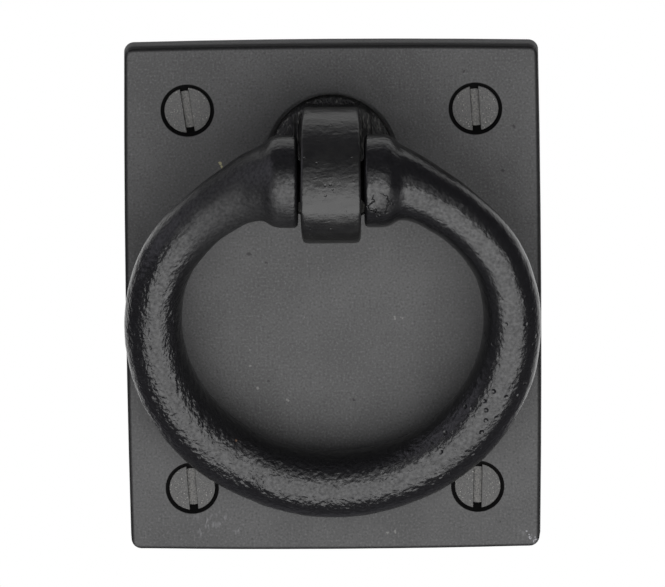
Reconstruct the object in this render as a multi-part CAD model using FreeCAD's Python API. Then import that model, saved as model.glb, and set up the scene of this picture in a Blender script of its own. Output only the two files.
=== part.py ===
import FreeCAD, Part
import math
import os

from FreeCAD import Vector

# Ring pull for a cabinet door: an iron ring that swings in a cast post on a screwed back plate.
# Millimetres. X runs across the plate, the front faces -Y, Z is up.
# The origin is the middle of the plate's flat back.

# Back plate
plate_width = 65.4
plate_height = 82.0
plate_thickness = 4.2
plate_bow_height = 0.35        # how far each edge bulges in its middle
plate_corner_radius = 1.6
plate_draft_width = 0.2        # the sides lean in by this much from back to front
plate_edge_radius = 0.45       # worn front arris

# Wood screws and their countersunk holes
screw_side_distance = 10.2     # from the side edge of the plate
screw_end_distance = 10.4      # from the top or bottom edge of the plate
screw_head_diameter = 7.2
screw_land_height = 0.3        # straight rim above the cone of the head
screw_shank_diameter = 4.2
screw_thread_start_gap = 0.1   # between the back of the plate and the thread
screw_thread_diameter = 3.6    # mean of crest and root
screw_thread_runout_length = 0.3
screw_length = 19.0            # from the top of the head to the tip
screw_tip_length = 4.2
screw_tip_diameter = 0.5
screw_slot_width = 1.55
screw_slot_depth = 0.9
screw_head_depth = 0.25        # top of the head below the face of the plate
screw_seat_gap = 0.03          # between the cone of the head and its seat
screw_hole_clearance = 0.2     # radial, round the shank
countersink_half_angle = 45.0
screw_slot_leans = {           # degrees from upright, positive leans the top to the left
    "screw_top_left": 8.0,
    "screw_top_right": 3.5,
    "screw_bottom_left": 4.0,
    "screw_bottom_right": -1.5,
}

# Post: domed base, lug with the eye for the ring, shank peened behind the plate
post_top_distance = 18.1       # centre of the post below the top edge of the plate
recess_diameter = 20.9
recess_depth = 2.2
post_base_gap = 0.8            # radial, round the base in its recess
post_base_depth = 0.3          # rim of the base below the face of the plate
post_dome_height = 3.4
post_foot_width = 12.4         # flat step across the dome, under the lug
post_foot_half_length = 8.6    # up and down from the centre of the base
post_foot_height = 2.6         # front of the step above the face of the plate
post_foot_edge_radius = 0.35
post_shank_diameter = 8.0
post_shank_clearance = 0.05    # radial, in the hole of the plate
peen_diameter = 11.0
peen_length = 1.4
pivot_height = 15.3            # axis of the ring above the face of the plate
lug_root_height = 7.9          # top of the lug above the pivot, where it leaves the base
lug_root_depth = 8.0           # underside of the lug below the pivot, at the same place
lug_crown_radius = 12.6        # long curve over the top and down the front
lug_nose_radius = 7.7
lug_nose_offset = 0.5          # centre of the nose ahead of the pivot
lug_nose_drop = 2.2            # centre of the nose below the pivot
lug_root_width = 8.2
lug_front_width = 9.5
lug_edge_radius = 0.5
eye_clearance = 0.1            # radial, round the pegs of the ring

# Ring
peg_diameter = 6.0
peg_end_gap = 0.6              # between the two pegs inside the eye
collar_diameter = 14.6
collar_length = 5.6
collar_side_gap = 0.4          # between a collar and the flank of the lug
collar_inner_radius = 0.8
collar_outer_radius = 2.6
ring_side_gap = 0.3            # by which the sides of the ring stay inside those of the plate
bow_centre_distance = 24.4     # centre of the bow below the pivot
shoulder_angle = 72.0          # where the shoulders leave the round bow, from the top
shoulder_start_length = 5.0    # length of the curve's handle at the collar
shoulder_end_length = 9.0      # length of the curve's handle at the bow
shoulder_start_slope = 0.05
neck_diameter = 13.6
neck_share = 0.62              # share of the shoulder over which the neck thins out
bow_side_diameter = 8.8
bow_bottom_diameter = 10.5
bow_thin_angle = 80.0          # where the bow begins to thicken, from the top
shoulder_sections = 7
bow_sections = 6
ring_rest_gap = 0.25           # between the lowest part of the ring and the plate

# Worked out from the sizes above
plate_face_y = -plate_thickness
post_centre_height = plate_height / 2 - post_top_distance
pivot_y = plate_face_y - pivot_height
pivot = Vector(0, pivot_y, post_centre_height)
eye_radius = peg_diameter / 2 + eye_clearance
post_base_radius = recess_diameter / 2 - post_base_gap
collar_face_x = lug_front_width / 2 + collar_side_gap
bow_radius = plate_width / 2 - ring_side_gap - bow_side_diameter / 2
bow_bottom_distance = bow_centre_distance + bow_radius
ring_lean = math.degrees(
    math.asin((pivot_height - bow_bottom_diameter / 2 - ring_rest_gap) / bow_bottom_distance)
)
screw_spacing_across = plate_width - 2 * screw_side_distance
screw_spacing_up = plate_height - 2 * screw_end_distance
head_radius = screw_head_diameter / 2
shank_radius = screw_shank_diameter / 2
cone_slope = math.tan(math.radians(countersink_half_angle))
cutter_overrun = 1.0           # how far cutting tools reach past the faces that they cut
small_length = 0.01            # edges closer than this to a face count as lying on it


def revolve_about_y(points, x, z):
    """Turned solid: (radius, y) points spun about a line along Y through x, z."""
    wire = Part.makePolygon([Vector(x + radius, y, z) for radius, y in points + points[:1]])
    return Part.Face(wire).revolve(Vector(x, 0, z), Vector(0, 1, 0), 360)


def bowed_outline(half_width, half_height, y):
    """Closed outline of the plate at depth y: four bowed edges and four round corners."""
    corner_x = half_width - plate_bow_height
    corner_z = half_height - plate_bow_height
    corners = [
        Vector(-corner_x, y, -corner_z),
        Vector(corner_x, y, -corner_z),
        Vector(corner_x, y, corner_z),
        Vector(-corner_x, y, corner_z),
    ]
    middles = [
        Vector(0, y, -half_height),
        Vector(half_width, y, 0),
        Vector(0, y, half_height),
        Vector(-half_width, y, 0),
    ]
    edges = []
    for number, middle in enumerate(middles):
        start = corners[number]
        end = corners[(number + 1) % 4]
        edges.append(Part.Arc(start, middle, end).toShape())
    return Part.Wire(edges)


def is_corner_edge(edge):
    """True for the short edges that join the back and front outlines at the corners."""
    ends = [vertex.Point for vertex in edge.Vertexes]
    return abs(ends[0].y - ends[-1].y) > plate_thickness / 2


def screw_places():
    """Name and centre of each screw."""
    places = {}
    for name in screw_slot_leans:
        side = -1 if name.endswith("left") else 1
        level = 1 if "top" in name else -1
        places[name] = (side * screw_spacing_across / 2, level * screw_spacing_up / 2)
    return places


def make_plate():
    """Cast plate with drafted, bowed edges, countersunk holes and the seat of the post."""
    half_width = plate_width / 2
    half_height = plate_height / 2
    back = bowed_outline(half_width, half_height, 0)
    front = bowed_outline(
        half_width - plate_draft_width, half_height - plate_draft_width, plate_face_y
    )
    plate = Part.makeLoft([back, front], True, True)
    corners = [edge for edge in plate.Edges if is_corner_edge(edge)]
    plate = plate.makeFillet(plate_corner_radius, corners)
    rim = [edge for edge in plate.Edges if edge.BoundBox.YMax < plate_face_y + small_length]
    plate = plate.makeFillet(plate_edge_radius, rim)

    cutters = [countersunk_hole(x, z) for x, z in screw_places().values()]
    cutters.append(post_seat())
    return plate.cut(cutters)


def countersunk_hole(x, z):
    """Cutter for one screw: a cone that seats the head, then a clearance hole."""
    seat_radius = head_radius + screw_seat_gap
    head_top_y = plate_face_y + screw_head_depth
    cone_rim_y = head_top_y + screw_land_height
    hole_radius = shank_radius + screw_hole_clearance
    mouth_radius = seat_radius + (cone_rim_y - plate_face_y + cutter_overrun) / cone_slope
    cone_end_y = cone_rim_y + (seat_radius - hole_radius) * cone_slope
    return revolve_about_y(
        [
            (0, plate_face_y - cutter_overrun),
            (mouth_radius, plate_face_y - cutter_overrun),
            (hole_radius, cone_end_y),
            (hole_radius, cutter_overrun),
            (0, cutter_overrun),
        ],
        x,
        z,
    )


def post_seat():
    """Cutter for the post: round recess in front, shank hole, countersink for the peened end."""
    floor_y = plate_face_y + recess_depth
    hole_radius = post_shank_diameter / 2 + post_shank_clearance
    peen_radius = peen_diameter / 2 + post_shank_clearance
    return revolve_about_y(
        [
            (0, plate_face_y - cutter_overrun),
            (recess_diameter / 2, plate_face_y - cutter_overrun),
            (recess_diameter / 2, floor_y),
            (hole_radius, floor_y),
            (hole_radius, -peen_length),
            (peen_radius, 0),
            (peen_radius, cutter_overrun),
            (0, cutter_overrun),
        ],
        0,
        post_centre_height,
    )


def make_screw(name, x, z):
    """Slotted countersunk wood screw with its tip behind the plate."""
    head_top_y = plate_face_y + screw_head_depth
    land_y = head_top_y + screw_land_height
    neck_y = land_y + (head_radius - shank_radius) * cone_slope
    thread_radius = screw_thread_diameter / 2
    tip_y = head_top_y + screw_length
    body = revolve_about_y(
        [
            (0, head_top_y),
            (head_radius, head_top_y),
            (head_radius, land_y),
            (shank_radius, neck_y),
            (shank_radius, screw_thread_start_gap - screw_thread_runout_length),
            (thread_radius, screw_thread_start_gap),
            (thread_radius, tip_y - screw_tip_length),
            (screw_tip_diameter / 2, tip_y),
            (0, tip_y),
        ],
        x,
        z,
    )
    slot_length = screw_head_diameter + 2 * cutter_overrun
    slot = Part.makeBox(
        screw_slot_width,
        2 * screw_slot_depth,
        slot_length,
        Vector(x - screw_slot_width / 2, head_top_y - screw_slot_depth, z - slot_length / 2),
    )
    slot.rotate(Vector(x, 0, z), Vector(0, -1, 0), screw_slot_leans[name])
    return body.cut(slot)


def touch_point(start, centre, radius, side):
    """Where a line from start touches a circle in the side view, over it (1) or under it (-1)."""
    to_centre = centre - start
    half_angle = math.asin(radius / to_centre.Length)
    heading = math.atan2(to_centre.z, -to_centre.y) + side * half_angle
    reach = math.sqrt(to_centre.Length**2 - radius**2)
    return start + Vector(0, -math.cos(heading), math.sin(heading)) * reach


def arc_between(centre, radius, start, end):
    """The shorter arc of a circle from start to end."""
    middle = centre + ((start - centre) + (end - centre)).normalize() * radius
    return Part.Arc(start, middle, end).toShape()


def lug_side_profile():
    """Side view of the lug as a face at X = 0: rising back, crown, nose, straight underside."""
    root_y = plate_face_y + post_base_depth
    root_top = Vector(0, root_y, pivot.z + lug_root_height)
    foot = Vector(0, root_y, pivot.z - lug_root_depth)
    nose = Vector(0, pivot_y - lug_nose_offset, pivot.z - lug_nose_drop)
    # the crown and the nose meet without a corner at the point furthest forward
    crown = nose + Vector(0, lug_crown_radius - lug_nose_radius, 0)
    front = nose - Vector(0, lug_nose_radius, 0)
    crown_start = touch_point(root_top, crown, lug_crown_radius, 1)
    nose_end = touch_point(foot, nose, lug_nose_radius, -1)
    edges = [
        Part.makeLine(root_top, crown_start),
        arc_between(crown, lug_crown_radius, crown_start, front),
        arc_between(nose, lug_nose_radius, front, nose_end),
        Part.makeLine(nose_end, foot),
        Part.makeLine(foot, root_top),
    ]
    return Part.Face(Part.Wire(edges))


def lug_plan_outline():
    """Plan view of the lug: straight flanks that spread a little towards the front."""
    low_z = pivot.z - 2 * lug_nose_radius
    root_y = plate_face_y + post_base_depth
    front_y = pivot_y - lug_nose_offset - lug_nose_radius
    corners = [
        Vector(-lug_root_width / 2, root_y, low_z),
        Vector(lug_root_width / 2, root_y, low_z),
        Vector(lug_front_width / 2, front_y, low_z),
        Vector(-lug_front_width / 2, front_y, low_z),
    ]
    return Part.Face(Part.makePolygon(corners + corners[:1]))


def make_post():
    """Post in one piece: lug with its eye, domed base, step, shank and peened end."""
    half_width = lug_front_width / 2
    side = lug_side_profile()
    side.translate(Vector(-half_width, 0, 0))
    slab = side.extrude(Vector(lug_front_width, 0, 0))
    plan = lug_plan_outline().extrude(Vector(0, 0, 4 * lug_nose_radius))
    lug = slab.common(plan)
    rim = [edge for edge in lug.Edges if is_lug_rim(edge)]
    lug = lug.makeFillet(lug_edge_radius, rim)

    eye = Part.makeCylinder(
        eye_radius, lug_front_width, pivot - Vector(half_width, 0, 0), Vector(1, 0, 0)
    )
    return lug.fuse([post_base(), post_foot(), post_shank()]).removeSplitter().cut(eye)


def is_lug_rim(edge):
    """True for the edges round the two flanks of the lug, but not for its root."""
    box = edge.BoundBox
    lies_on_one_side = box.XMin * box.XMax > 0
    reaches_forward = box.YMin < plate_face_y + post_base_depth - small_length
    is_upright = abs(box.YMax - box.YMin) < small_length
    return lies_on_one_side and reaches_forward and not is_upright


def post_base():
    """Round base in the recess with a low dome on it."""
    rim_y = plate_face_y + post_base_depth
    floor_y = plate_face_y + recess_depth
    ball_radius = (post_base_radius**2 + post_dome_height**2) / (2 * post_dome_height)
    base = Part.makeCylinder(
        post_base_radius,
        recess_depth - post_base_depth,
        Vector(0, rim_y, post_centre_height),
        Vector(0, 1, 0),
    )
    ball = Part.makeSphere(
        ball_radius, Vector(0, rim_y - post_dome_height + ball_radius, post_centre_height)
    )
    cap_limit = Part.makeCylinder(
        post_base_radius,
        post_dome_height + recess_depth - post_base_depth,
        Vector(0, floor_y, post_centre_height),
        Vector(0, -1, 0),
    )
    return base.fuse(ball.common(cap_limit))


def post_foot():
    """Flat step that carries the lug on the dome, its ends cut round by the rim of the base."""
    front_y = plate_face_y - post_foot_height
    rim_y = plate_face_y + post_base_depth
    block = Part.makeBox(
        post_foot_width,
        rim_y - front_y,
        2 * post_foot_half_length,
        Vector(-post_foot_width / 2, front_y, post_centre_height - post_foot_half_length),
    )
    rim_cylinder = Part.makeCylinder(
        post_base_radius,
        rim_y - front_y,
        Vector(0, rim_y, post_centre_height),
        Vector(0, -1, 0),
    )
    foot = block.common(rim_cylinder)
    front_edges = [edge for edge in foot.Edges if edge.BoundBox.YMax < front_y + small_length]
    return foot.makeFillet(post_foot_edge_radius, front_edges)


def post_shank():
    """Shank through the plate, swelled into the countersink and filed flush with the back."""
    shank_r = post_shank_diameter / 2
    floor_y = plate_face_y + recess_depth
    return revolve_about_y(
        [
            (0, floor_y),
            (shank_r, floor_y),
            (shank_r, -peen_length),
            (peen_diameter / 2, 0),
            (0, 0),
        ],
        0,
        post_centre_height,
    )


def bow_point(angle):
    """Point and heading of the round bow, angle in degrees from its top, ring hanging straight."""
    turn = math.radians(angle)
    place = Vector(
        bow_radius * math.sin(turn),
        pivot_y,
        pivot.z - bow_centre_distance + bow_radius * math.cos(turn),
    )
    heading = Vector(math.cos(turn), 0, -math.sin(turn))
    return place, heading


def shoulder_curve():
    """Centre line from inside the right collar to the round bow."""
    start = Vector(collar_face_x + collar_length / 2, pivot_y, pivot.z)
    end, heading = bow_point(shoulder_angle)
    curve = Part.BezierCurve()
    curve.setPoles(
        [
            start,
            start + Vector(1, 0, -shoulder_start_slope) * shoulder_start_length,
            end - heading * shoulder_end_length,
            end,
        ]
    )
    return curve


def right_half_sections():
    """Centre, heading and diameter of the round sections from the right collar to the bottom."""
    sections = []
    curve = shoulder_curve()
    for number in range(shoulder_sections):
        share = number / shoulder_sections
        flare = max(0, 1 - share / neck_share) ** 2
        diameter = bow_side_diameter + (neck_diameter - bow_side_diameter) * flare
        sections.append((curve.value(share), curve.tangent(share)[0], diameter))
    for number in range(bow_sections + 1):
        angle = shoulder_angle + (180 - shoulder_angle) * number / bow_sections
        share = max(0, (angle - bow_thin_angle) / (180 - bow_thin_angle))
        swell = 1 - (1 - share) ** 2
        diameter = bow_side_diameter + (bow_bottom_diameter - bow_side_diameter) * swell
        place, heading = bow_point(angle)
        sections.append((place, heading, diameter))
    return sections


def mirrored(section):
    """The same section on the left half, with its heading kept running round the ring."""
    place, heading, diameter = section
    return Vector(-place.x, place.y, place.z), Vector(heading.x, 0, -heading.z), diameter


def section_wire(section):
    """Circle square to the centre line, its seam on the front of the ring."""
    place, heading, diameter = section
    circle = Part.Circle(Vector(0, 0, 0), Vector(0, 0, 1), diameter / 2)
    wire = Part.Wire(circle.toShape())
    front = Vector(0, -1, 0)
    outward = heading.cross(front)
    turn = FreeCAD.Rotation(front, outward, heading, "ZXY")
    wire.Placement = FreeCAD.Placement(place, turn)
    return wire


def make_collar():
    """Right collar with its peg, turned about the pivot."""
    outer_x = collar_face_x + collar_length
    collar = Part.makeCylinder(
        collar_diameter / 2, collar_length, pivot + Vector(collar_face_x, 0, 0), Vector(1, 0, 0)
    )
    inner_rim = [edge for edge in collar.Edges if edge.BoundBox.XMax < collar_face_x + small_length]
    collar = collar.makeFillet(collar_inner_radius, inner_rim)
    outer_rim = [edge for edge in collar.Edges if edge.BoundBox.XMin > outer_x - small_length]
    collar = collar.makeFillet(collar_outer_radius, outer_rim)
    peg_start = peg_end_gap / 2
    peg = Part.makeCylinder(
        peg_diameter / 2,
        outer_x - peg_start,
        pivot + Vector(peg_start, 0, 0),
        Vector(1, 0, 0),
    )
    return collar.fuse(peg)


def make_ring():
    """Ring in one piece, leaning back on the plate as it lies at rest."""
    right = right_half_sections()
    left = [mirrored(section) for section in reversed(right[:-1])]
    wires = [section_wire(section) for section in right + left]
    bow = Part.makeLoft(wires, True, False)
    collar = make_collar()
    other_collar = collar.mirror(pivot, Vector(1, 0, 0))
    ring = bow.fuse([collar, other_collar])
    ring.rotate(pivot, Vector(1, 0, 0), ring_lean)
    return ring


def save(name, shape):
    """Write one checked solid."""
    solids = shape.Solids
    print(name, "solids", len(solids), "valid", shape.isValid(), "volume", round(shape.Volume, 1))
    solids[0].exportStep("parts/" + name + ".step")


os.makedirs("parts", exist_ok=True)
save("plate", make_plate())
save("post", make_post())
save("ring", make_ring())
for screw_name, (screw_x, screw_z) in screw_places().items():
    save(screw_name, make_screw(screw_name, screw_x, screw_z))
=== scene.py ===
import math

import bpy
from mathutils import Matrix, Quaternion, Vector


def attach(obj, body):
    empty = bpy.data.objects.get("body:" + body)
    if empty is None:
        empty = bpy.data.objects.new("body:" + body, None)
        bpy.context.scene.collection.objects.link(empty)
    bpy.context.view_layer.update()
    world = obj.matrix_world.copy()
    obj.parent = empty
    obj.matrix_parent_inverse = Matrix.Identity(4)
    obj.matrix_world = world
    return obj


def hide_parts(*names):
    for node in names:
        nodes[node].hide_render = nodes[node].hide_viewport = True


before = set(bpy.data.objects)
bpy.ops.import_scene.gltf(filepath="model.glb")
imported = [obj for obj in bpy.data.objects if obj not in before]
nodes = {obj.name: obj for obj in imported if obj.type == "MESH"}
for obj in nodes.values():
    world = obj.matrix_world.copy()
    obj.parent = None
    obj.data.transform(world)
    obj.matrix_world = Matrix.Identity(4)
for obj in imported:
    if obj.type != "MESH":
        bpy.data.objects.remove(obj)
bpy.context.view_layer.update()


# Back plate: one flat iron casting with four countersunk screw holes and a round recess
# for the post. Its black powder coat was sprayed and baked, which gives a satin face with
# a fine even grain. The coat is scuffed and chipped in a few places.
MM = 0.001
PLATE_HALF_WIDTH = 32.7 * MM
PLATE_HALF_HEIGHT = 41 * MM
PLATE_BOW = 0.35 * MM              # how far each edge bulges in its middle
PLATE_FACE = -4.2 * MM
SCREWS = {                         # middle of each head, across and up, in mm
    "screw_top_left": (-22.5, 30.6),
    "screw_top_right": (22.5, 30.6),
    "screw_bottom_left": (-22.5, -30.6),
    "screw_bottom_right": (22.5, -30.6),
}
SCREW_HOLE_RADIUS = 4.2            # in mm, as the marks below
COAT_IOR = 1.5
NOISE_LOW, NOISE_HIGH = 0.35, 0.65  # where most of a noise pattern lies
PLATE_ROUGHNESS = 0.64
# roughness and shine where shade is painted into the countersinks and along the edge of the face
SHADE_ROUGHNESS = 0.9
FULL_SHINE = 0.5                   # the shader's own level
SHADE_SHINE = 0.12
POWDER_GRAIN = 0.35 * MM           # drawn coarser than real powder, so that it shows
POWDER_DEPTH = 0.06 * MM
PLATE_RIPPLE = 2.2 * MM
RIPPLE_DEPTH = 0.12 * MM
PLATE_CLOUD = 9 * MM
RAGGED_SIZE = 0.5 * MM
RAGGED_REACH = 0.9 * MM
SCRATCH_SIZE = 0.6 * MM
# a band of painted shade along the edge of the face, and its fade
EDGE_SHADE_WIDTH = 0.75 * MM              # width of the dark edge of the face
EDGE_SHADE_FADE = 0.3 * MM
# marks on the face, each across, up and radius in mm
PALE_MARKS = (
    (8.3, -38.1, 0.22), (9.4, -37.9, 0.18), (9.7, -3.1, 0.2), (10.8, -3.1, 0.16), (-4.5, -3.0, 0.16),
    (-13.2, -8.2, 0.14), (-13.1, -10.7, 0.2), (-11.9, -14.3, 0.22), (-7.4, -16.4, 0.18),
)
OLIVE_MARK = ((-17.5, 22.1, 0.28), (-17.3, 21.6, 0.2))
DARK_MARKS = (
    (-13.1, 7.4, 0.3), (-10.5, 6.0, 0.22), (3.1, -16.3, 0.2), (20.8, 36.6, 0.2), (28.4, 27.7, 0.2),
    (26.7, 20.7, 0.22), (-10.3, -13.2, 0.2), (26.1, -36.4, 0.14),
)
CHIPS = (
    (30.2, -38.1, 0.12), (30.45, -38.6, 0.12), (30.8, -39.1, 0.14), (31.5, -39.0, 0.16),
    (31.75, -39.4, 0.18), (31.35, -39.6, 0.14),
)
SCUFFS = ((-20.5, -36.7, 1.8), (-18.0, -35.8, 1.2), (-15.3, -37.6, 0.8), (31.0, -39.2, 1.9))


def linear(hex_colour):
    """An sRGB hex colour as the linear colour that a shader takes."""
    shares = [int(hex_colour[i:i + 2], 16) / 255 for i in (1, 3, 5)]
    steps = [s / 12.92 if s <= 0.04045 else ((s + 0.055) / 1.055) ** 2.4 for s in shares]
    return (*steps, 1.0)


def add_node(tree, kind, inputs=None, **settings):
    """Adds one node with its settings. Each input, by its name or number, takes a value, a
    socket, or a node for its first output. A colour Mix has only numbers: 0 is the share,
    6 and 7 the two colours, and output 2 the mixed colour."""
    made = tree.nodes.new(kind)
    for name, value in settings.items():
        setattr(made, name, value)
    for name, value in (inputs or {}).items():
        if isinstance(value, bpy.types.Node):
            value = value.outputs[0]
        if isinstance(value, bpy.types.NodeSocket):
            tree.links.new(value, made.inputs[name])
        else:
            made.inputs[name].default_value = value
    return made


def new_coat(name, roughness):
    """A material for a black coat, with its node tree, shader and place on the piece."""
    material = bpy.data.materials.new(name)
    material.use_nodes = True
    tree = material.node_tree
    shader = tree.nodes["Principled BSDF"]
    shader.inputs["Roughness"].default_value = roughness
    shader.inputs["IOR"].default_value = COAT_IOR
    place = add_node(tree, "ShaderNodeTexCoord").outputs["Object"]
    return material, tree, shader, place


def paint(piece, material):
    """Gives a piece this one material."""
    piece.data.materials.clear()
    piece.data.materials.append(material)


def nearest_edge(tree, place, spots):
    """Distance from a place to the edge of the nearest round spot, each (x, z, radius)."""
    nearest = None
    for x, z, radius in spots:
        away = add_node(
            tree, "ShaderNodeVectorMath", {0: place, 1: (x * MM, 0, z * MM)}, operation="DISTANCE"
        )
        edge = add_node(
            tree, "ShaderNodeMath", {0: away.outputs["Value"], 1: radius * MM}, operation="SUBTRACT"
        )
        if nearest is None:
            nearest = edge
        else:
            nearest = add_node(tree, "ShaderNodeMath", {0: nearest, 1: edge}, operation="MINIMUM")
    return nearest


# Satin powder coat, sprayed dry and baked: a grey-black face with a fine even grain and
# slow clouds of tone, on which a light shows as a wide soft glow and never as an image.
plate_coat, tree, shader, place = new_coat("satin_black_powder_coat_on_flat_iron", PLATE_ROUGHNESS)
depth = add_node(tree, "ShaderNodeSeparateXYZ", {0: place})
cloud = add_node(tree, "ShaderNodeTexNoise", {"Vector": place, "Scale": 1 / PLATE_CLOUD, "Detail": 3.0})
cloud = add_node(
    tree, "ShaderNodeMapRange", {"Value": cloud, "From Min": NOISE_LOW, "From Max": NOISE_HIGH}
)
speckle = add_node(tree, "ShaderNodeTexNoise", {"Vector": place, "Scale": 1 / POWDER_GRAIN, "Detail": 2.0})
coat_colour = add_node(
    tree, "ShaderNodeMix", {0: cloud, 6: linear("#313131"), 7: linear("#3a3a3a")}, data_type="RGBA"
)
# the coat keeps a few pale and dark grains of dust
for first, full, grain_colour in ((0.54, 0.78, "#4c4c4c"), (0.46, 0.22, "#1d1d1d")):
    grain = add_node(tree, "ShaderNodeMapRange", {"Value": speckle, "From Min": first, "From Max": full})
    coat_colour = add_node(
        tree, "ShaderNodeMix",
        {0: grain, 6: coat_colour.outputs[2], 7: linear(grain_colour)}, data_type="RGBA",
    )
# marks have ragged edges, so the place that they are measured from is shaken a little
flat_place = add_node(tree, "ShaderNodeVectorMath", {0: place, 1: (1, 0, 1)}, operation="MULTIPLY")
shake = add_node(tree, "ShaderNodeTexNoise", {"Vector": place, "Scale": 1 / RAGGED_SIZE, "Detail": 2.0})
shake = add_node(
    tree, "ShaderNodeVectorMath",
    {0: shake.outputs["Color"], 1: (RAGGED_REACH, RAGGED_REACH, RAGGED_REACH)}, operation="MULTIPLY",
)
ragged = add_node(tree, "ShaderNodeVectorMath", {0: flat_place, 1: shake}, operation="ADD")
ragged = add_node(
    tree, "ShaderNodeVectorMath",
    {0: ragged, 1: (RAGGED_REACH / 2, RAGGED_REACH / 2, RAGGED_REACH / 2)}, operation="SUBTRACT",
)
ragged = add_node(tree, "ShaderNodeVectorMath", {0: ragged, 1: (1, 0, 1)}, operation="MULTIPLY")
# marks are on the front of the plate alone
in_front = add_node(
    tree, "ShaderNodeMapRange",
    {
        "Value": depth.outputs["Y"],
        "From Min": PLATE_FACE + 0.4 * MM, "From Max": PLATE_FACE + 0.8 * MM, "To Min": 1.0, "To Max": 0.0,
    },
)
for spots, mark_colour in (
    (PALE_MARKS, "#5a5a58"), (OLIVE_MARK, "#8c8868"), (DARK_MARKS, "#0a0a0a"), (CHIPS, "#7c7c80"),
):
    marked = add_node(
        tree, "ShaderNodeMapRange",
        {
            "Value": nearest_edge(tree, ragged, spots),
            "From Min": -0.04 * MM, "From Max": 0.06 * MM, "To Min": 1.0, "To Max": 0.0,
        },
    )
    marked = add_node(tree, "ShaderNodeMath", {0: marked, 1: in_front}, operation="MULTIPLY")
    coat_colour = add_node(
        tree, "ShaderNodeMix",
        {0: marked, 6: coat_colour.outputs[2], 7: linear(mark_colour)}, data_type="RGBA",
    )
# scuffs are patches of short upright scratches
scuffed = add_node(
    tree, "ShaderNodeMapRange",
    {
        "Value": nearest_edge(tree, flat_place, SCUFFS),
        "From Min": -1.5 * MM, "From Max": 0.8 * MM, "To Min": 1.0, "To Max": 0.0,
    },
)
upright = add_node(tree, "ShaderNodeVectorMath", {0: place, 1: (1, 1, 0.45)}, operation="MULTIPLY")
scratches = add_node(
    tree, "ShaderNodeTexNoise", {"Vector": upright, "Scale": 1 / SCRATCH_SIZE, "Detail": 3.0}
)
scratches = add_node(tree, "ShaderNodeMapRange", {"Value": scratches, "From Min": 0.52, "From Max": 0.66})
scuffed = add_node(tree, "ShaderNodeMath", {0: scuffed, 1: scratches}, operation="MULTIPLY")
scuffed = add_node(tree, "ShaderNodeMath", {0: scuffed, 1: in_front}, operation="MULTIPLY")
coat_colour = add_node(
    tree, "ShaderNodeMix",
    {0: scuffed, 6: coat_colour.outputs[2], 7: linear("#646466")}, data_type="RGBA",
)
# painted shade: the countersinks are painted near black, rough and hardly shining, but not on the back of
# the plate
holes = [(x, z, SCREW_HOLE_RADIUS) for x, z in SCREWS.values()]
painted_shade = add_node(
    tree, "ShaderNodeMapRange",
    {
        "Value": nearest_edge(tree, flat_place, holes),
        "From Min": -0.05 * MM, "From Max": 0.05 * MM, "To Min": 1.0, "To Max": 0.0,
    },
)
before_back = add_node(
    tree, "ShaderNodeMapRange",
    {
        "Value": depth.outputs["Y"],
        "From Min": -0.3 * MM, "From Max": -0.1 * MM, "To Min": 1.0, "To Max": 0.0,
    },
)
painted_shade = add_node(tree, "ShaderNodeMath", {0: painted_shade, 1: before_back}, operation="MULTIPLY")
coat_colour = add_node(
    tree, "ShaderNodeMix",
    {0: painted_shade, 6: coat_colour.outputs[2], 7: linear("#030303")}, data_type="RGBA",
)
# painted shade: a dark band is painted along the edge of the face, which also hardly shines
beyond = []
for along, across, half_length, half_width in (
    ("Z", "X", PLATE_HALF_HEIGHT, PLATE_HALF_WIDTH), ("X", "Z", PLATE_HALF_WIDTH, PLATE_HALF_HEIGHT)
):
    bow = add_node(tree, "ShaderNodeMath", {0: depth.outputs[along], 1: 2}, operation="POWER")
    bow = add_node(
        tree, "ShaderNodeMath", {0: bow, 1: PLATE_BOW / half_length ** 2}, operation="MULTIPLY"
    )
    out = add_node(tree, "ShaderNodeMath", {0: depth.outputs[across]}, operation="ABSOLUTE")
    out = add_node(tree, "ShaderNodeMath", {0: out, 1: bow}, operation="ADD")
    beyond.append(add_node(tree, "ShaderNodeMath", {0: out, 1: half_width}, operation="SUBTRACT"))
edge_shade = add_node(tree, "ShaderNodeMath", {0: beyond[0], 1: beyond[1]}, operation="MAXIMUM")
edge_shade = add_node(
    tree, "ShaderNodeMapRange",
    {"Value": edge_shade, "From Min": -EDGE_SHADE_WIDTH, "From Max": -EDGE_SHADE_WIDTH + EDGE_SHADE_FADE, "To Max": 0.8},
)
front_half = add_node(
    tree, "ShaderNodeMapRange",
    {
        "Value": depth.outputs["Y"],
        "From Min": -3.0 * MM, "From Max": -1.8 * MM, "To Min": 1.0, "To Max": 0.0,
    },
)
edge_shade = add_node(tree, "ShaderNodeMath", {0: edge_shade, 1: front_half}, operation="MULTIPLY")
coat_colour = add_node(
    tree, "ShaderNodeMix",
    {0: edge_shade, 6: coat_colour.outputs[2], 7: linear("#131313")}, data_type="RGBA",
)
tree.links.new(coat_colour.outputs[2], shader.inputs["Base Color"])
# the painted shade of the countersinks and of the edge band is also rough and hardly shines
painted_shade = add_node(tree, "ShaderNodeMath", {0: painted_shade, 1: edge_shade}, operation="MAXIMUM")
dullness = add_node(
    tree, "ShaderNodeMapRange", {"Value": painted_shade, "To Min": PLATE_ROUGHNESS, "To Max": SHADE_ROUGHNESS}
)
tree.links.new(dullness.outputs[0], shader.inputs["Roughness"])
shine = add_node(tree, "ShaderNodeMapRange", {"Value": painted_shade, "To Min": FULL_SHINE, "To Max": SHADE_SHINE})
tree.links.new(shine.outputs[0], shader.inputs["Specular IOR Level"])
ripple = add_node(tree, "ShaderNodeTexNoise", {"Vector": place, "Scale": 1 / PLATE_RIPPLE, "Detail": 2.0})
skin = add_node(tree, "ShaderNodeBump", {"Height": speckle, "Distance": POWDER_DEPTH})
skin = add_node(tree, "ShaderNodeBump", {"Height": ripple, "Distance": RIPPLE_DEPTH, "Normal": skin})
tree.links.new(skin.outputs[0], shader.inputs["Normal"])
paint(nodes["plate"], plate_coat)


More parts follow.
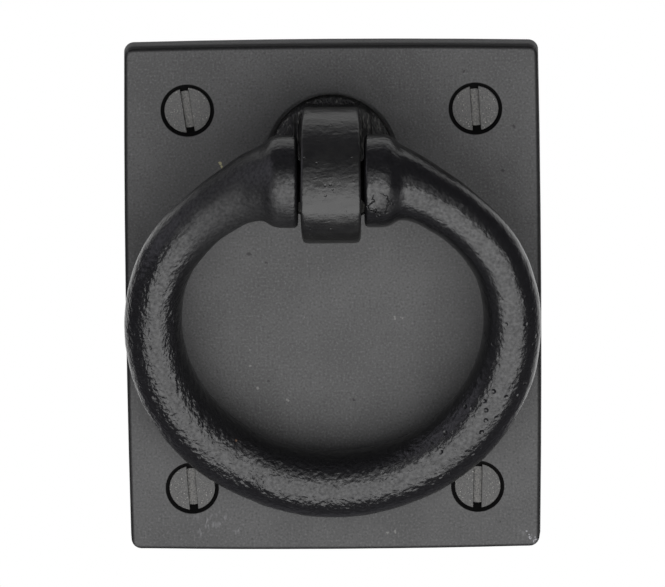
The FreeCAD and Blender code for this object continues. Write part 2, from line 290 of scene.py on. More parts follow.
# Post: one sand casting, a domed base with a flat step that carries the lug for the ring.
# Its sides were filed, its front kept the wrinkles of the mould, and the shank was peened
# over behind the plate. It has the same black coat, thicker and glossier on the lug.
PIVOT = Vector((0, -19.5 * MM, 22.9 * MM))
EYE_KEEP_RADIUS = 3.6 * MM
POST_SKIN_STEP = 0.18 * MM
FILED_BACK = 0.95 * MM
POST_ROUGHNESS = 0.32
BASE_ROUGHNESS = 0.45
# how much the painted shade below the lug still shines
SHADE_BELOW_LUG_SHINE = 0.05
BLOTCH_SIZE = 1.6 * MM
FILE_STROKE = 0.35 * MM            # real strokes are finer, and would not show
FILE_DEPTH = 0.5 * MM
WRINKLE_SIZE = 0.8 * MM
WRINKLE_SLOPE = math.radians(8)
WRINKLE_DEPTH = 0.08 * MM
SAND_GRAIN = 0.5 * MM              # drawn coarser than the mould's sand, so that it shows
SAND_DEPTH = 0.05 * MM
POST_PIT_SPACING = 1.7 * MM
POST_PIT_DEPTH = 0.06 * MM


def soften(piece, passes, group=""):
    """Rounds the corners of a casting, everywhere or in one group of points."""
    soft = piece.modifiers.new("soft_corners", "SMOOTH")
    soft.iterations = passes
    soft.vertex_group = group
    bpy.ops.object.modifier_apply(modifier=soft.name)


def cast_copy(name, skin_step, passes):
    """Copy of a cast node as one even closed skin, ready to be roughened."""
    bpy.ops.object.select_all(action="DESELECT")
    piece = nodes[name].copy()
    piece.data = nodes[name].data.copy()
    for key in list(piece.keys()):
        del piece[key]
    piece.parent = None
    piece.name = "cast_" + name
    bpy.context.scene.collection.objects.link(piece)
    bpy.context.view_layer.objects.active = piece
    piece.select_set(True)
    bpy.ops.object.mode_set(mode="EDIT")
    bpy.ops.mesh.select_all(action="SELECT")
    bpy.ops.mesh.remove_doubles(threshold=0.0005 * MM)
    bpy.ops.mesh.normals_make_consistent(inside=False)
    bpy.ops.object.mode_set(mode="OBJECT")
    skin = piece.modifiers.new("even_skin", "REMESH")
    skin.mode = "VOXEL"
    skin.voxel_size = skin_step
    bpy.ops.object.modifier_apply(modifier=skin.name)
    soften(piece, passes)
    bpy.ops.object.shade_smooth()
    return piece


def point_group(piece, name, share_at):
    """Group of points whose weight is a share worked out from each point's place."""
    group = piece.vertex_groups.new(name=name)
    for point in piece.data.vertices:
        share = share_at(point.co)
        if share > 0:
            group.add([point.index], min(share, 1.0), "REPLACE")
    return name


def roughen(piece, kind, size, height, group, middle=0.5, **settings):
    """Raises and lowers the skin of a casting by a pattern of this size and height."""
    pattern = bpy.data.textures.new(piece.name + "_pattern", kind)
    pattern.noise_scale = size
    for name, value in settings.items():
        setattr(pattern, name, value)
    lift = piece.modifiers.new("cast_skin", "DISPLACE")
    lift.texture = pattern
    lift.texture_coords = "LOCAL"
    lift.strength = height
    lift.mid_level = middle
    lift.vertex_group = group
    bpy.ops.object.modifier_apply(modifier=lift.name)


def push_back(piece, name, far, group):
    """Moves a group of points back towards the plate, each by its share of this distance."""
    push = piece.modifiers.new(name, "DISPLACE")
    push.direction = "Y"
    push.strength = far
    push.mid_level = 0
    push.vertex_group = group
    bpy.ops.object.modifier_apply(modifier=push.name)


def away_from_eye(place):
    """1 on the open faces of the post and 0 round its eye and behind the plate's face."""
    turn_radius = math.hypot(place.y - PIVOT.y, place.z - PIVOT.z)
    open_face = min(max((turn_radius - EYE_KEEP_RADIUS) / (0.6 * MM), 0), 1)
    return open_face if place.y < PLATE_FACE + 0.3 * MM else 0


def lower_front(place):
    """Grows from 0 below the eye to 1 at the lower end of the lug, in front of the base."""
    return min((20 * MM - place.z) / (5 * MM), (-15 * MM - place.y) / (3 * MM))


post = cast_copy("post", POST_SKIN_STEP, 5)
skin_group = point_group(post, "open_faces", away_from_eye)
# the middle is above half, so that the skin stays inside the solid's box
roughen(post, "CLOUDS", 2.6 * MM, 0.10 * MM, skin_group, middle=0.8)
roughen(post, "CLOUDS", 0.8 * MM, 0.05 * MM, skin_group)
# the lower front of the lug was filed back a little
push_back(post, "filed_back", FILED_BACK, point_group(post, "lower_front", lower_front))
soften(post, 80, "lower_front")

# Powder coat over a filed casting: on the lug it is thick and glossy, and the highlight
# runs over wrinkles and small pits. Low down it is thin, grey and scratched.
post_coat, tree, shader, place = new_coat("black_powder_coat_over_filed_casting", POST_ROUGHNESS)
depth = add_node(tree, "ShaderNodeSeparateXYZ", {0: place})
low_down = add_node(
    tree, "ShaderNodeMapRange",
    {"Value": depth.outputs["Y"], "From Min": -8.5 * MM, "From Max": -7.2 * MM},
)
blotch = add_node(tree, "ShaderNodeTexNoise", {"Vector": place, "Scale": 1 / BLOTCH_SIZE, "Detail": 3.0})
blotch = add_node(
    tree, "ShaderNodeMapRange", {"Value": blotch, "From Min": NOISE_LOW, "From Max": NOISE_HIGH}
)
coat_colour = add_node(
    tree, "ShaderNodeMix", {0: blotch, 6: linear("#0e0e0e"), 7: linear("#171716")}, data_type="RGBA"
)
coat_colour = add_node(
    tree, "ShaderNodeMix",
    {0: low_down, 6: coat_colour.outputs[2], 7: linear("#20201f")}, data_type="RGBA",
)
# a file left upright scratches on the base
upright = add_node(tree, "ShaderNodeVectorMath", {0: place, 1: (1, 1, 0.2)}, operation="MULTIPLY")
filed = add_node(tree, "ShaderNodeTexNoise", {"Vector": upright, "Scale": 1 / FILE_STROKE, "Detail": 3.0})
scratched = add_node(tree, "ShaderNodeMapRange", {"Value": filed, "From Min": 0.56, "From Max": 0.66})
scratched = add_node(tree, "ShaderNodeMath", {0: scratched, 1: low_down}, operation="MULTIPLY")
coat_colour = add_node(
    tree, "ShaderNodeMix",
    {0: scratched, 6: coat_colour.outputs[2], 7: linear("#62625e")}, data_type="RGBA",
)
# painted reflection: a brown patch is painted on the right flank in front of the eye
brown_reflection_and_slot_wear = add_node(
    tree, "ShaderNodeVectorMath", {0: place, 1: (4.75 * MM, -20.5 * MM, 20.2 * MM)},
    operation="DISTANCE",
)
brown_reflection_and_slot_wear = add_node(
    tree, "ShaderNodeMapRange",
    {
        "Value": brown_reflection_and_slot_wear.outputs["Value"],
        "From Min": 0.6 * MM, "From Max": 3.2 * MM, "To Min": 1.0, "To Max": 0.0,
    },
)
flank = add_node(
    tree, "ShaderNodeMapRange",
    {"Value": depth.outputs["X"], "From Min": 4.3 * MM, "From Max": 4.6 * MM},
)
brown_reflection_and_slot_wear = add_node(tree, "ShaderNodeMath", {0: brown_reflection_and_slot_wear, 1: flank}, operation="MULTIPLY")
coat_colour = add_node(
    tree, "ShaderNodeMix",
    {0: brown_reflection_and_slot_wear, 6: coat_colour.outputs[2], 7: linear("#5a4436")}, data_type="RGBA",
)
tree.links.new(coat_colour.outputs[2], shader.inputs["Base Color"])
dullness = add_node(
    tree, "ShaderNodeMapRange", {"Value": low_down, "To Min": POST_ROUGHNESS, "To Max": BASE_ROUGHNESS}
)
tree.links.new(dullness.outputs[0], shader.inputs["Roughness"])
# painted shade: below the lug the base hardly shines, so it shows darker there
shade_below_lug = add_node(
    tree, "ShaderNodeMapRange",
    {"Value": depth.outputs["Z"], "From Min": 20 * MM, "From Max": 16 * MM},
)
shade_below_lug = add_node(tree, "ShaderNodeMath", {0: shade_below_lug, 1: low_down}, operation="MULTIPLY")
shine = add_node(tree, "ShaderNodeMapRange", {"Value": shade_below_lug, "To Min": FULL_SHINE, "To Max": SHADE_BELOW_LUG_SHINE})
tree.links.new(shine.outputs[0], shader.inputs["Specular IOR Level"])
# wrinkles of the mould run across the lug, and small pits lie between them
across = add_node(tree, "ShaderNodeMapping", {"Vector": place, "Rotation": (0, WRINKLE_SLOPE, 0)})
across = add_node(tree, "ShaderNodeVectorMath", {0: across, 1: (0.28, 1, 1)}, operation="MULTIPLY")
wrinkle = add_node(tree, "ShaderNodeTexNoise", {"Vector": across, "Scale": 1 / WRINKLE_SIZE, "Detail": 4.0})
sand = add_node(tree, "ShaderNodeTexNoise", {"Vector": place, "Scale": 1 / SAND_GRAIN, "Detail": 2.0})
pit = add_node(tree, "ShaderNodeTexVoronoi", {"Vector": place, "Scale": 1 / POST_PIT_SPACING})
pit = add_node(
    tree, "ShaderNodeMapRange", {"Value": pit, "From Min": 0.05, "From Max": 0.16},
    interpolation_type="SMOOTHSTEP",
)
skin = add_node(tree, "ShaderNodeBump", {"Height": pit, "Distance": POST_PIT_DEPTH})
skin = add_node(tree, "ShaderNodeBump", {"Height": wrinkle, "Distance": WRINKLE_DEPTH, "Normal": skin})
skin = add_node(tree, "ShaderNodeBump", {"Height": sand, "Distance": SAND_DEPTH, "Normal": skin})
skin = add_node(
    tree, "ShaderNodeBump",
    {"Height": filed, "Distance": FILE_DEPTH, "Strength": low_down, "Normal": skin},
)
tree.links.new(skin.outputs[0], shader.inputs["Normal"])
paint(post, post_coat)
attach(post, "backplate")
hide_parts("post")


# Ring: one sand casting with its two collars and the pegs that turn in the eye. It was
# tumbled, not filed, so the skin keeps pits and wrinkles, most of them on the lower bow,
# and the gloss black coat follows each of them.
RING_CENTRE = Vector((0, -14.94 * MM, -1.07 * MM))
RING_LEAN = math.radians(10.8)
BOW_RADIUS = 28 * MM
CREASE_SIDE = 10.9 * MM            # hollow between collar and tube, from the middle
PEG_SIDE = 5.4 * MM                # inner end of a collar, from the middle
RING_SKIN_STEP = 0.29 * MM
NECK_SET_BACK = 0.75 * MM
RING_ROUGHNESS = 0.24
NECK_ROUGHNESS = 0.66
COLLAR_ROUGHNESS = 0.55
LEFT_NECK = (-13 * MM, -20 * MM, 16 * MM)
RIGHT_COLLAR = (9.6 * MM, -26 * MM, 21 * MM)
CRACK = (7.6 * MM, -26 * MM, 20.6 * MM)
RUST_SPECK = (-15.1 * MM, -14.3 * MM, -20.0 * MM)
FLOW_SIZE = 0.45 * MM              # drawn coarser than the coat's own flow, so that it shows
FLOW_DEPTH = 0.06 * MM
LUMP_SIZE = 0.9 * MM
LUMP_DEPTH = 0.26 * MM
RUN_SIZE = 0.65 * MM
RUN_SLANT = math.radians(30)
RUN_DEPTH = 0.13 * MM
RING_PIT_SPACING = 1.6 * MM
RING_PIT_DEPTH = 0.16 * MM
CRACK_SPACING = 2.2 * MM
CRACK_DEPTH = 0.2 * MM
SHINE_GRAIN = 0.5 * MM


def near_crease(place):
    """1 in the hollow between a collar and the tube, 0 a little away from it."""
    return 1.4 - abs(abs(place.x) - CREASE_SIDE) / (3.0 * MM)


def outside_pegs(place):
    """1 on the collars and the tube, 0 on the pegs."""
    return min(max((abs(place.x) - PEG_SIDE) / (0.6 * MM), 0), 1)


def on_lower_bow(place):
    """Grows from the sides of the ring to 1 at its lowest part."""
    lower = (RING_CENTRE.z - place.z) / (24 * MM)
    return outside_pegs(place) * min(max(0.35 + 0.65 * lower, 0), 1)


def left_shoulder(place):
    """Grows from 0 at the left collar to 1 on the neck beside it, and dies away down the tube."""
    away = -place.x
    share = min((away - 10.6 * MM) / (3.4 * MM), (25 * MM - away) / (10 * MM), 1)
    return max(share, 0) ** 2 * (3 - 2 * share)


ring = cast_copy("ring", RING_SKIN_STEP, 4)
# the left neck sits a little further back than the right one
push_back(ring, "neck_set_back", NECK_SET_BACK, point_group(ring, "left_shoulder", left_shoulder))
soften(ring, 62, point_group(ring, "creases", near_crease))
tube_group = point_group(ring, "tube", outside_pegs)
bow_group = point_group(ring, "lower_bow", on_lower_bow)
roughen(ring, "CLOUDS", 3.6 * MM, 0.16 * MM, tube_group, middle=0.8)
roughen(ring, "CLOUDS", 1.1 * MM, 0.10 * MM, bow_group, noise_type="HARD_NOISE")

# Gloss coat over sand-cast iron: deep black with sharp highlights, which the lumps,
# wrinkles and pits of the casting break up into grains and short streaks.
ring_coat, tree, shader, place = new_coat("gloss_black_coat_over_sand_cast_iron", RING_ROUGHNESS)
# the ring seen flat: turned upright about its centre, then measured round and across the tube
flat = add_node(tree, "ShaderNodeMapping", {"Vector": place, "Location": -RING_CENTRE}, vector_type="POINT")
flat = add_node(
    tree, "ShaderNodeMapping", {"Vector": flat, "Rotation": (RING_LEAN, 0, 0)}, vector_type="POINT"
)
side = add_node(tree, "ShaderNodeSeparateXYZ", {0: flat})
turn = add_node(
    tree, "ShaderNodeMath", {0: side.outputs["X"], 1: side.outputs["Z"]}, operation="ARCTAN2"
)
# half the real length round the bow, so that the flow is stretched along the tube
along = add_node(tree, "ShaderNodeMath", {0: turn, 1: BOW_RADIUS / 2}, operation="MULTIPLY")
outward = add_node(tree, "ShaderNodeVectorMath", {0: flat}, operation="LENGTH")
flow_place = add_node(
    tree, "ShaderNodeCombineXYZ",
    {"X": along, "Y": outward.outputs["Value"], "Z": side.outputs["Y"]},
)
flow = add_node(tree, "ShaderNodeTexNoise", {"Vector": flow_place, "Scale": 1 / FLOW_SIZE, "Detail": 2.0})
# lumps from coarse sand, most of them low on the left
lump = add_node(tree, "ShaderNodeTexNoise", {"Vector": place, "Scale": 1 / LUMP_SIZE, "Detail": 2.0})
low_left = add_node(
    tree, "ShaderNodeVectorMath", {0: flat, 1: (-0.5, 0, -0.87)}, operation="DOT_PRODUCT"
)
low_left = add_node(
    tree, "ShaderNodeMapRange",
    {
        "Value": low_left.outputs["Value"],
        "From Min": -0.2 * BOW_RADIUS, "From Max": BOW_RADIUS, "To Min": 0.25, "To Max": 1.0,
    },
)
# slanting wrinkles on the left, where the coat ran before it set
leftward = add_node(
    tree, "ShaderNodeMapRange",
    {"Value": side.outputs["X"], "From Min": -14 * MM, "From Max": -24 * MM},
)
slant = add_node(tree, "ShaderNodeMapping", {"Vector": flow_place, "Rotation": (0, 0, RUN_SLANT)})
slant = add_node(tree, "ShaderNodeVectorMath", {0: slant, 1: (0.4, 1, 1)}, operation="MULTIPLY")
run = add_node(tree, "ShaderNodeTexNoise", {"Vector": slant, "Scale": 1 / RUN_SIZE, "Detail": 2.0})
# round pits low on the right, where gas bubbles burst in the sand
pit = add_node(tree, "ShaderNodeTexVoronoi", {"Vector": place, "Scale": 1 / RING_PIT_SPACING})
chosen = add_node(tree, "ShaderNodeSeparateXYZ", {0: pit.outputs["Color"]})
chosen = add_node(tree, "ShaderNodeMath", {0: chosen, 1: 0.35}, operation="GREATER_THAN")
pit = add_node(
    tree, "ShaderNodeMapRange",
    {"Value": pit, "From Min": 0.06, "From Max": 0.3, "To Min": 1.0, "To Max": 0.0},
    interpolation_type="SMOOTHSTEP",
)
pit = add_node(tree, "ShaderNodeMath", {0: pit, 1: chosen}, operation="MULTIPLY")
rightward = add_node(
    tree, "ShaderNodeMapRange",
    {"Value": side.outputs["X"], "From Min": 10 * MM, "From Max": 19 * MM},
)
low_right = add_node(
    tree, "ShaderNodeMapRange",
    {"Value": side.outputs["Z"], "From Min": 6 * MM, "From Max": -2 * MM},
)
low_right = add_node(tree, "ShaderNodeMath", {0: rightward, 1: low_right}, operation="MULTIPLY")
# the front of the right collar has a crack
cracked = add_node(tree, "ShaderNodeVectorMath", {0: place, 1: CRACK}, operation="DISTANCE")
cracked = add_node(
    tree, "ShaderNodeMapRange",
    {
        "Value": cracked.outputs["Value"],
        "From Min": 1.6 * MM, "From Max": 2.6 * MM, "To Min": 1.0, "To Max": 0.0,
    },
)
crack = add_node(tree, "ShaderNodeTexNoise", {"Vector": place, "Scale": 1 / CRACK_SPACING, "Detail": 3.0})
crack = add_node(tree, "ShaderNodeMath", {0: crack, 1: 0.5}, operation="SUBTRACT")
crack = add_node(tree, "ShaderNodeMath", {0: crack}, operation="ABSOLUTE")
crack = add_node(
    tree, "ShaderNodeMapRange", {"Value": crack, "From Min": 0.0, "From Max": 0.03},
    interpolation_type="SMOOTHSTEP",
)
skin = add_node(tree, "ShaderNodeBump", {"Height": flow, "Distance": FLOW_DEPTH})
for height, lift, share in (
    (lump, LUMP_DEPTH, low_left), (run, RUN_DEPTH, leftward),
    (pit, -RING_PIT_DEPTH, low_right), (crack, CRACK_DEPTH, cracked),
):
    skin = add_node(
        tree, "ShaderNodeBump", {"Height": height, "Distance": lift, "Strength": share, "Normal": skin}
    )
tree.links.new(skin.outputs[0], shader.inputs["Normal"])
# the coat shines in grains, and is dull on the left neck and the outside of the right collar
shine = add_node(tree, "ShaderNodeTexNoise", {"Vector": place, "Scale": 1 / SHINE_GRAIN, "Detail": 3.0})
shine = add_node(
    tree, "ShaderNodeMapRange",
    {"Value": shine, "From Min": 0.3, "From Max": 0.7, "To Min": 0.3, "To Max": 0.6},
)
tree.links.new(shine.outputs[0], shader.inputs["Specular IOR Level"])
dull_places = []
for middle, near, far, roughness in (
    (LEFT_NECK, 3 * MM, 17 * MM, NECK_ROUGHNESS), (RIGHT_COLLAR, 0.8 * MM, 3.2 * MM, COLLAR_ROUGHNESS)
):
    away = add_node(tree, "ShaderNodeVectorMath", {0: place, 1: middle}, operation="DISTANCE")
    dull_places.append(add_node(
        tree, "ShaderNodeMapRange",
        {
            "Value": away.outputs["Value"],
            "From Min": near, "From Max": far, "To Min": roughness, "To Max": RING_ROUGHNESS,
        },
        interpolation_type="SMOOTHSTEP",
    ))
dull = add_node(tree, "ShaderNodeMath", {0: dull_places[0], 1: dull_places[1]}, operation="MAXIMUM")
tree.links.new(dull.outputs[0], shader.inputs["Roughness"])
# one speck of rust
rust = add_node(tree, "ShaderNodeVectorMath", {0: place, 1: RUST_SPECK}, operation="DISTANCE")
rust = add_node(
    tree, "ShaderNodeMapRange",
    {
        "Value": rust.outputs["Value"],
        "From Min": 0.3 * MM, "From Max": 0.5 * MM, "To Min": 1.0, "To Max": 0.0,
    },
)
coat_colour = add_node(
    tree, "ShaderNodeMix", {0: rust, 6: linear("#0f0f10"), 7: linear("#8a6a52")}, data_type="RGBA"
)
tree.links.new(coat_colour.outputs[2], shader.inputs["Base Color"])
paint(ring, ring_coat)
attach(ring, "pull_ring")
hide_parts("ring")


# Screws: four slotted wood screws of turned steel, blackened in hot salts and oiled. The
# lathe and the tumbling barrel left a gritty head, with pale specks painted on it as glints,
# and each slot stopped at its own lean when the screw was driven home.
HEAD_TOP = -3.95 * MM
HEAD_RADIUS = 3.6 * MM
HEAD_STEPS = (                     # further back, then the radius there
    (0.3 * MM, 3.6 * MM),
    (1.5 * MM, 2.1 * MM),
    (1.95 * MM, 2.1 * MM),
    (0.3 * MM, 1.5 * MM),
    (10.75 * MM, 1.5 * MM),
    (4.2 * MM, 0.2 * MM),
)
SLOT_WIDTH = 1.3 * MM
SLOT_DEPTH = 0.9 * MM
SLOT_WEAR = 0.16 * MM
SLOT_FLOOR = -3.1 * MM
SLOT_LEANS = {                     # degrees from upright, positive leans the top to the left
    "screw_top_left": 8.0,
    "screw_top_right": 3.5,
    "screw_bottom_left": 4.0,
    "screw_bottom_right": -1.5,
}
THREAD_SIZE = 0.42 * MM
THREAD_RADIUS = 1.68 * MM
THREAD_PITCH = 1.55 * MM
THREAD_TURNS = 9
THREAD_START = -0.1 * MM
THREAD_NARROWING = 0.9             # share of its radius that the thread loses along the tip
TIP_START = 10.85 * MM
TIP_LENGTH = 4.2 * MM
SCREW_ROUGHNESS = 0.42
GRIT_SIZE = 0.3 * MM               # drawn coarser than the real grit, so that it shows
GRIT_DEPTH = 0.08 * MM
# size of the pale specks painted as glints
GLINT_SIZE = 0.2 * MM


def apply_all(piece):
    """Applies every modifier of a piece, top to bottom."""
    bpy.context.view_layer.objects.active = piece
    for modifier in list(piece.modifiers):
        bpy.ops.object.modifier_apply(modifier=modifier.name)


# the blank is drawn out backwards from the round top of its head
bpy.ops.object.select_all(action="DESELECT")
bpy.ops.mesh.primitive_circle_add(
    vertices=64, radius=HEAD_RADIUS, fill_type="NGON",
    location=(0, HEAD_TOP, 0), rotation=(math.radians(90), 0, 0),
)
screw = bpy.context.object
screw.name = "turned_screw"
bpy.ops.object.transform_apply(location=True, rotation=True, scale=True)
bpy.ops.object.mode_set(mode="EDIT")
bpy.ops.mesh.select_all(action="SELECT")
radius = HEAD_RADIUS
for back, next_radius in HEAD_STEPS:
    bpy.ops.mesh.extrude_region_move(TRANSFORM_OT_translate={"value": (0, back, 0)})
    share = next_radius / radius
    bpy.ops.transform.resize(value=(share, 1, share), center_override=(0, 0, 0))
    radius = next_radius
bpy.ops.mesh.select_all(action="SELECT")
bpy.ops.mesh.normals_make_consistent(inside=False)
bpy.ops.object.mode_set(mode="OBJECT")

# the slot is sawn, and the driver wore its edges
bpy.ops.object.select_all(action="DESELECT")
bpy.ops.mesh.primitive_cube_add(size=1, location=(0, HEAD_TOP, 0))
slot_saw = bpy.context.object
slot_saw.scale = (SLOT_WIDTH, 2 * SLOT_DEPTH, 4 * HEAD_RADIUS)
bpy.ops.object.transform_apply(location=True, rotation=True, scale=True)
sawn = screw.modifiers.new("slot", "BOOLEAN")
sawn.operation = "DIFFERENCE"
sawn.object = slot_saw
brown_reflection_and_slot_wear = screw.modifiers.new("worn_edges", "BEVEL")
brown_reflection_and_slot_wear.width = SLOT_WEAR
brown_reflection_and_slot_wear.segments = 1
brown_reflection_and_slot_wear.limit_method = "ANGLE"
brown_reflection_and_slot_wear.angle_limit = math.radians(50)
apply_all(screw)
bpy.data.objects.remove(slot_saw)

# the thread is wound with the start of the tip at its own origin, where it begins to narrow
bpy.ops.object.select_all(action="DESELECT")
bpy.ops.mesh.primitive_circle_add(
    vertices=3, radius=THREAD_SIZE, fill_type="NOTHING",
    location=(THREAD_RADIUS, THREAD_START - TIP_START, 0), rotation=(0, 0, math.radians(-90)),
)
thread = bpy.context.object
bpy.ops.object.transform_apply(location=True, rotation=True, scale=True)
wound = thread.modifiers.new("wound", "SCREW")
wound.axis = "Y"
wound.screw_offset = THREAD_PITCH
wound.iterations = THREAD_TURNS
wound.steps = wound.render_steps = 40
wound.use_merge_vertices = False
half_ridge = THREAD_SIZE * math.sin(math.radians(60))
thread_front = THREAD_START - TIP_START - half_ridge
thread_length = THREAD_PITCH * THREAD_TURNS + 2 * half_ridge
narrowed = thread.modifiers.new("narrowed", "SIMPLE_DEFORM")
narrowed.deform_method = "TAPER"
narrowed.deform_axis = "Y"
narrowed.limits = (-thread_front / thread_length, 1)
narrowed.factor = -THREAD_NARROWING * (thread_front + thread_length) / TIP_LENGTH
apply_all(thread)
bpy.ops.object.mode_set(mode="EDIT")
bpy.ops.mesh.select_all(action="SELECT")
bpy.ops.mesh.fill_holes(sides=3)
bpy.ops.mesh.normals_make_consistent(inside=False)
bpy.ops.object.mode_set(mode="OBJECT")
thread.location = (0, TIP_START, 0)
bpy.ops.object.transform_apply(location=True, rotation=True, scale=True)
joined = screw.modifiers.new("thread", "BOOLEAN")
joined.operation = "UNION"
joined.object = thread
apply_all(screw)
bpy.data.objects.remove(thread)

# Black oxide on turned steel: a thin grey-black skin with the grit of the tumbling barrel,
# pale specks painted on it as glints, and worn paler on the floor of the slot.
screw_coat, tree, shader, place = new_coat("black_oxide_on_turned_steel", SCREW_ROUGHNESS)
grit = add_node(tree, "ShaderNodeTexNoise", {"Vector": place, "Scale": 1 / GRIT_SIZE, "Detail": 3.0})
grit_share = add_node(
    tree, "ShaderNodeMapRange", {"Value": grit, "From Min": NOISE_LOW, "From Max": NOISE_HIGH}
)
steel_colour = add_node(
    tree, "ShaderNodeMix", {0: grit_share, 6: linear("#161615"), 7: linear("#32312f")},
    data_type="RGBA",
)
worn_colour = add_node(
    tree, "ShaderNodeMix", {0: grit_share, 6: linear("#161615"), 7: linear("#504e4a")},
    data_type="RGBA",
)
# painted glints: pale specks in the colour
painted_glint = add_node(tree, "ShaderNodeTexNoise", {"Vector": place, "Scale": 1 / GLINT_SIZE, "Detail": 1.0})
painted_glint = add_node(tree, "ShaderNodeMapRange", {"Value": painted_glint, "From Min": 0.66, "From Max": 0.74})
steel_colour = add_node(
    tree, "ShaderNodeMix", {0: painted_glint, 6: steel_colour.outputs[2], 7: linear("#7c7a75")},
    data_type="RGBA",
)
depth = add_node(tree, "ShaderNodeSeparateXYZ", {0: place})
on_floor = add_node(
    tree, "ShaderNodeMapRange",
    {"Value": depth.outputs["Y"], "From Min": SLOT_FLOOR - 0.1 * MM, "From Max": SLOT_FLOOR},
)
steel_colour = add_node(
    tree, "ShaderNodeMix", {0: on_floor, 6: steel_colour.outputs[2], 7: worn_colour.outputs[2]},
    data_type="RGBA",
)
tree.links.new(steel_colour.outputs[2], shader.inputs["Base Color"])
skin = add_node(tree, "ShaderNodeBump", {"Height": grit, "Distance": GRIT_DEPTH})
tree.links.new(skin.outputs[0], shader.inputs["Normal"])
paint(screw, screw_coat)

for name, (x, z) in SCREWS.items():
    driven = screw.copy()
    driven.data = screw.data.copy()
    driven.name = "turned_" + name
    bpy.context.scene.collection.objects.link(driven)
    bpy.ops.object.select_all(action="DESELECT")
    bpy.context.view_layer.objects.active = driven
    driven.select_set(True)
    driven.rotation_euler = (0, -math.radians(SLOT_LEANS[name]), 0)
    driven.location = (x * MM, 0, z * MM)
    bpy.ops.object.transform_apply(location=True, rotation=True, scale=True)
    bpy.ops.object.shade_smooth_by_angle(angle=math.radians(35))
    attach(driven, "backplate")
    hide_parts(name)
bpy.data.objects.remove(screw)


# Studio floor: a sheet of pale matt paper far below the handle, which is shown as it hangs
# on a door. It takes the handle's soft shadow, and the camera sees it almost white.
FLOOR_HEIGHT = -1.0
FLOOR_SIZE = 4
FAR_PART_START, FAR_PART_FULL = 1.0, 1.4   # behind the handle, where gloss mirrors the paper
PAPER_GLOW = 0.8


def rays_that_see_white(tree, behind):
    """1 for camera rays, and for mirrored and refracted rays the share that goes behind."""
    path = add_node(tree, "ShaderNodeLightPath")
    mirrored = add_node(
        tree, "ShaderNodeMath",
        {0: path.outputs["Is Glossy Ray"], 1: path.outputs["Is Transmission Ray"]}, operation="MAXIMUM",
    )
    mirrored = add_node(tree, "ShaderNodeMath", {0: mirrored, 1: behind}, operation="MULTIPLY")
    return add_node(
        tree, "ShaderNodeMath", {0: path.outputs["Is Camera Ray"], 1: mirrored}, operation="MAXIMUM"
    )


bpy.ops.object.select_all(action="DESELECT")
bpy.ops.mesh.primitive_plane_add(size=FLOOR_SIZE, location=(0, 0, FLOOR_HEIGHT))
floor = bpy.context.object
floor.name = "floor"
paper = bpy.data.materials.new("pale_matt_paper")
paper.use_nodes = True
tree = paper.node_tree
shader = tree.nodes["Principled BSDF"]
shader.inputs["Base Color"].default_value = linear("#dcdcdc")
shader.inputs["Roughness"].default_value = 0.9
spot = add_node(tree, "ShaderNodeTexCoord")
spot = add_node(tree, "ShaderNodeSeparateXYZ", {0: spot.outputs["Object"]})
behind = add_node(
    tree, "ShaderNodeMapRange",
    {"Value": spot.outputs["Y"], "From Min": FAR_PART_START, "From Max": FAR_PART_FULL},
)
shown = add_node(
    tree, "ShaderNodeMath", {0: rays_that_see_white(tree, behind), 1: PAPER_GLOW}, operation="MULTIPLY"
)
glow = add_node(tree, "ShaderNodeEmission", {"Color": linear("#f4f4f4"), "Strength": 1.0})
mixed = add_node(tree, "ShaderNodeMixShader", {0: shown, 1: shader, 2: glow})
tree.links.new(mixed.outputs[0], tree.nodes["Material Output"].inputs["Surface"])
paint(floor, paper)


# Softboxes: two plain white ones in front, the lower one large and bright, the upper one
# weaker. Angles are in degrees seen from the handle: left and right, above or below level.
SOFTBOX_DISTANCE = 0.3
SOFTBOX_LEFT = -39
SOFTBOX_RIGHT = 49
SOFTBOXES = (                      # name, lowest and highest angle, strength
    ("lower_softbox", -55, 16, 3.1),
    ("upper_softbox", 13, 37, 0.9),
)
for name, low, high, strength in SOFTBOXES:
    side = math.radians((SOFTBOX_LEFT + SOFTBOX_RIGHT) / 2)
    height = math.radians((low + high) / 2)
    towards = Vector((
        math.sin(side) * math.cos(height),
        -math.cos(side) * math.cos(height),
        math.sin(height),
    ))
    lamp_data = bpy.data.lights.new(name, "AREA")
    lamp_data.shape = "ELLIPSE"
    lamp_data.size = 2 * SOFTBOX_DISTANCE * math.tan(math.radians(SOFTBOX_RIGHT - SOFTBOX_LEFT) / 2)
    lamp_data.size_y = 2 * SOFTBOX_DISTANCE * math.tan(math.radians(high - low) / 2)
    lamp_data.energy = strength * math.pi * (math.pi / 4) * lamp_data.size * lamp_data.size_y
    lamp = bpy.data.objects.new(name, lamp_data)
    bpy.context.scene.collection.objects.link(lamp)
    lamp.location = towards * SOFTBOX_DISTANCE
    lamp.rotation_euler = (-towards).to_track_quat("-Z", "Y").to_euler()


# Surroundings: a dim room in front with a pale ceiling and a pale card at the upper left,
# and a white backdrop behind the handle, which the camera and the gloss of the coats see.
ROOM_STRENGTH = 0.12
CEILING_STRENGTH = 0.2
CARD_STRENGTH = 0.8
CARD_SIDE = (-0.9, -0.2, 0.38)
BACKDROP_RISE = 0.29               # the backdrop leans back, so it ends lower where it is near
world = bpy.data.worlds.new("studio")
bpy.context.scene.world = world
world.use_nodes = True
tree = world.node_tree
tree.nodes.clear()
where = add_node(tree, "ShaderNodeTexCoord")
split = add_node(tree, "ShaderNodeSeparateXYZ", {0: where.outputs["Generated"]})
raised = add_node(tree, "ShaderNodeMath", {0: split.outputs["Z"], 1: 0}, operation="MAXIMUM")
raised = add_node(tree, "ShaderNodeMath", {0: raised, 1: BACKDROP_RISE}, operation="MULTIPLY")
raised = add_node(tree, "ShaderNodeMath", {0: raised, 1: split.outputs["Y"]}, operation="ADD")
behind = add_node(tree, "ShaderNodeMapRange", {"Value": raised, "From Min": 0.52, "From Max": 0.68})
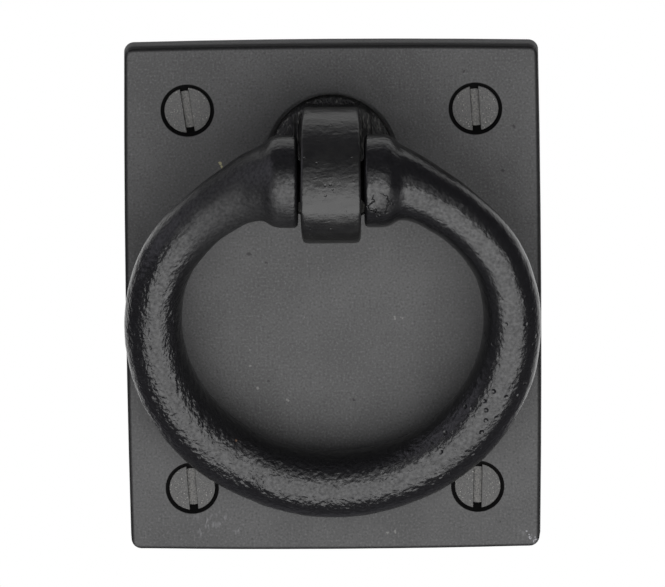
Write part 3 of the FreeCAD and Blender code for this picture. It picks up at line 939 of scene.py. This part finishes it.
ceiling = add_node(
    tree, "ShaderNodeMapRange",
    {
        "Value": split.outputs["Z"],
        "From Min": 0.86, "From Max": 0.95, "To Min": ROOM_STRENGTH, "To Max": CEILING_STRENGTH,
    },
)
card = add_node(
    tree, "ShaderNodeVectorMath", {0: where.outputs["Generated"], 1: CARD_SIDE}, operation="DOT_PRODUCT"
)
card = add_node(
    tree, "ShaderNodeMapRange",
    {"Value": card.outputs["Value"], "From Min": 0.84, "From Max": 0.97, "To Max": CARD_STRENGTH},
)
room_strength = add_node(tree, "ShaderNodeMath", {0: ceiling, 1: card}, operation="ADD")
room = add_node(tree, "ShaderNodeBackground", {"Color": linear("#efecfa"), "Strength": room_strength})
white = add_node(tree, "ShaderNodeBackground", {"Color": linear("#ffffff"), "Strength": 1.0})
mixed = add_node(tree, "ShaderNodeMixShader", {0: rays_that_see_white(tree, behind), 1: room, 2: white})
add_node(tree, "ShaderNodeOutputWorld", {"Surface": mixed})


# Camera: a long lens a little above the handle, almost straight in front of it, as the
# photograph was taken. It is level but for a small roll.
DISTANCE = 1.7
FRAME_WIDTH = 104.6 * MM           # seen across the handle
SENSOR_WIDTH = 36
AZIMUTH = math.radians(0.6)
ELEVATION = math.radians(14.5)
ROLL = math.radians(0.55)
AIM_RIGHT = -0.142 * MM
AIM_UP = -0.145 * MM
camera_data = bpy.data.cameras.new("camera")
camera = bpy.data.objects.new("camera", camera_data)
bpy.context.scene.collection.objects.link(camera)
bpy.context.scene.camera = camera
camera_data.sensor_width = SENSOR_WIDTH
camera_data.lens = SENSOR_WIDTH * DISTANCE / FRAME_WIDTH
camera_data.clip_end = 20
towards = Vector((
    math.sin(AZIMUTH) * math.cos(ELEVATION),
    -math.cos(AZIMUTH) * math.cos(ELEVATION),
    math.sin(ELEVATION),
))
level = (-towards).to_track_quat("-Z", "Y")
camera.rotation_mode = "QUATERNION"
camera.rotation_quaternion = level @ Quaternion((0, 0, 1), -ROLL)
camera.location = level @ Vector((AIM_RIGHT, AIM_UP, 0)) + towards * DISTANCE

bpy.context.scene.view_settings.view_transform = "Standard"
